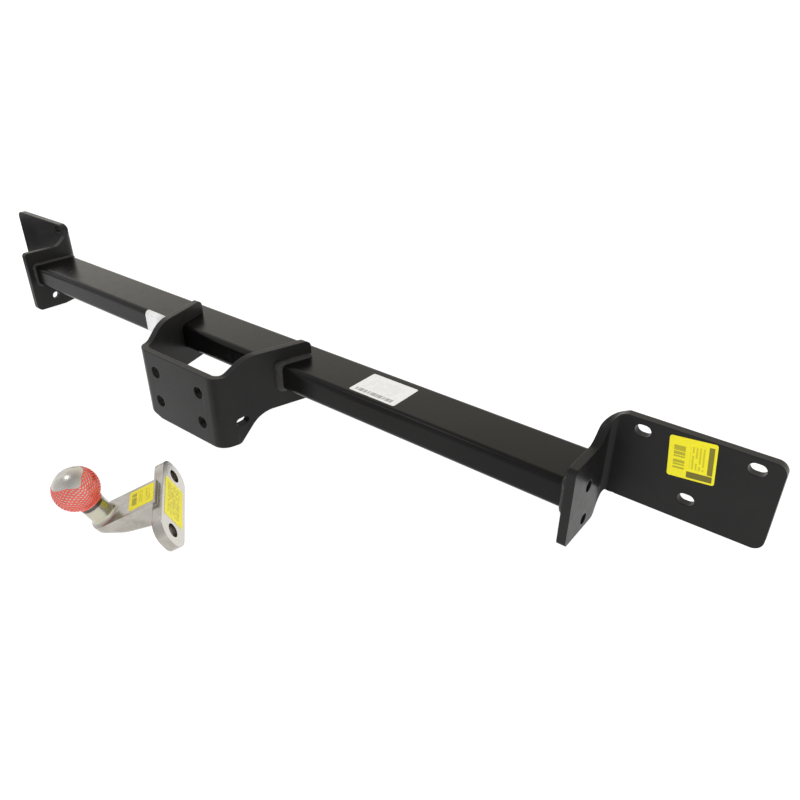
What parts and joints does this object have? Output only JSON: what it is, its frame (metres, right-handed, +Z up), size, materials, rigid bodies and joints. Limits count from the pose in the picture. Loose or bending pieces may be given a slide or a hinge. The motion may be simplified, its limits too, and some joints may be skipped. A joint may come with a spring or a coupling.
{
  "type": "towbar",
  "caption": "Welded towbar: rectangular cross tube, folded faceplate bracket, folded end brackets and a bolt-on forged tow ball.",
  "frame": {"origin": "centre of the four-hole pattern on the faceplate's front face", "axes": "+X along the cross tube, +Y from the faceplate towards the vehicle, +Z up"},
  "size_m": [1.3768, 0.3788, 0.1827],
  "materials": {
    "black_steel": "satin",
    "weld": "satin",
    "bare_steel": "plated",
    "red_net": "gloss",
    "white_label": "satin",
    "yellow_label": "satin"
  },
  "bodies": {
    "root": {"cross_tube": "black_steel", "centre_bracket": "black_steel", "right_end_bracket": "black_steel", "left_end_bracket": "black_steel", "right_end_weld": "weld", "left_end_weld": "weld", "centre_weld_right": "weld", "centre_weld_left": "weld", "tow_ball": "bare_steel", "ball_net": "red_net", "tube_top_label": "white_label", "tube_front_label": "white_label", "flange_label": "yellow_label", "ball_flange_label": "yellow_label", "arm_label": "yellow_label"}
  },
  "joints": []
}
